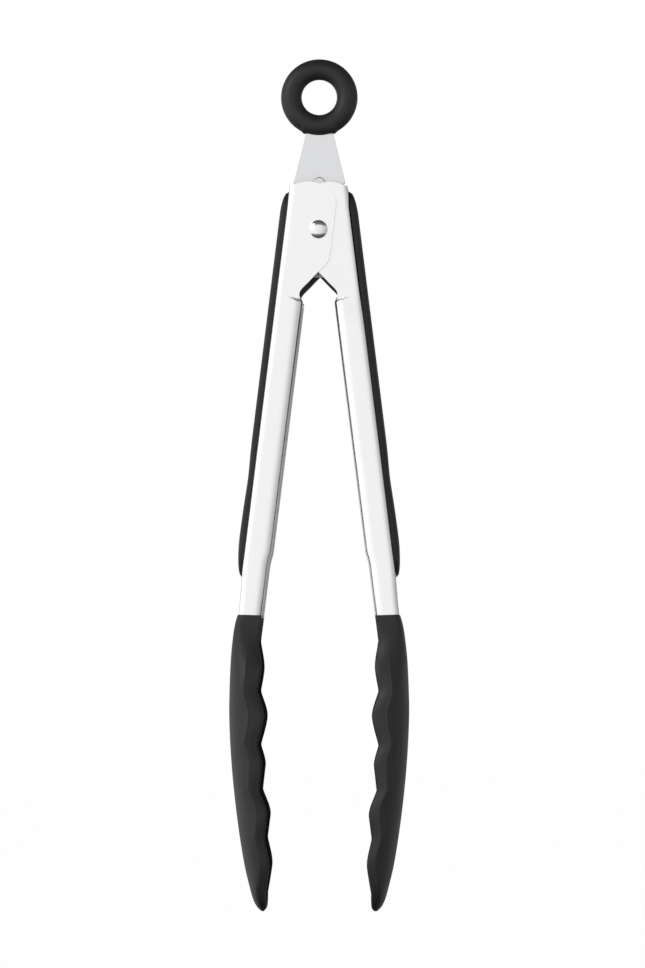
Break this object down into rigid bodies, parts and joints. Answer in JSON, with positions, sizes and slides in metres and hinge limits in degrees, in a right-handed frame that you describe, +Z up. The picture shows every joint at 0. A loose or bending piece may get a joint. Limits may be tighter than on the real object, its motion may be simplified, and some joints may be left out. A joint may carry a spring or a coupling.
{
  "type": "kitchen tongs",
  "caption": "Spring loaded kitchen tongs: two folded channel arms on a rivet, soft back grips, scalloped scoop heads, a sliding pull tab and a round hanging ring.",
  "frame": {"origin": "top inside point of the ring's bore, on its middle plane: where a hook carries the hanging tongs", "axes": "+Z up along the hanging tongs, from the heads to the ring; +X across the opening, from the left arm to the right arm; Y along the rivet, -Y the side with the left arm's ear outermost over the right arm's"},
  "size_m": [0.056, 0.0306, 0.2657],
  "materials": {
    "arm_steel": "satin",
    "tab_steel": "satin",
    "rivet_steel": "polished",
    "spring_steel": "drawn wire",
    "bush_nylon": "matte",
    "grip_rubber": "soft matte",
    "ring_rubber": "soft matte",
    "head_silicone": "satin"
  },
  "bodies": {
    "tab": {"pull_tab": "tab_steel", "hang_ring": "ring_rubber"},
    "pivot": {"pivot_rivet": "rivet_steel", "spacer_bush": "bush_nylon", "spring_bush": "bush_nylon", "torsion_spring": "spring_steel"},
    "left": {"left_arm": "arm_steel", "left_grip": "grip_rubber", "left_head": "head_silicone"},
    "right": {"right_arm": "arm_steel", "right_grip": "grip_rubber", "right_head": "head_silicone"}
  },
  "joints": [
    {"name": "tab_slide", "type": "slide", "parent": "tab", "child": "pivot", "axis": [0, 0, -1], "range_m": [0, 0.009]},
    {"name": "left_hinge", "type": "hinge", "parent": "pivot", "child": "left", "pos_m": [0, 0, -0.0477], "axis": [0, -1, 0], "range_deg": [0, 4.2], "stiffness_Nm_per_rad": 1.2, "springref_deg": -2.86, "deforming": ["torsion_spring"]},
    {"name": "right_hinge", "type": "hinge", "parent": "pivot", "child": "right", "pos_m": [0, 0, -0.0477], "axis": [0, 1, 0], "range_deg": [0, 4.2], "stiffness_Nm_per_rad": 1.2, "springref_deg": -2.86, "deforming": ["torsion_spring"]}
  ],
  "couplings": [
    {"joint": "right_hinge", "follows": "left_hinge", "ratio": 1}
  ]
}
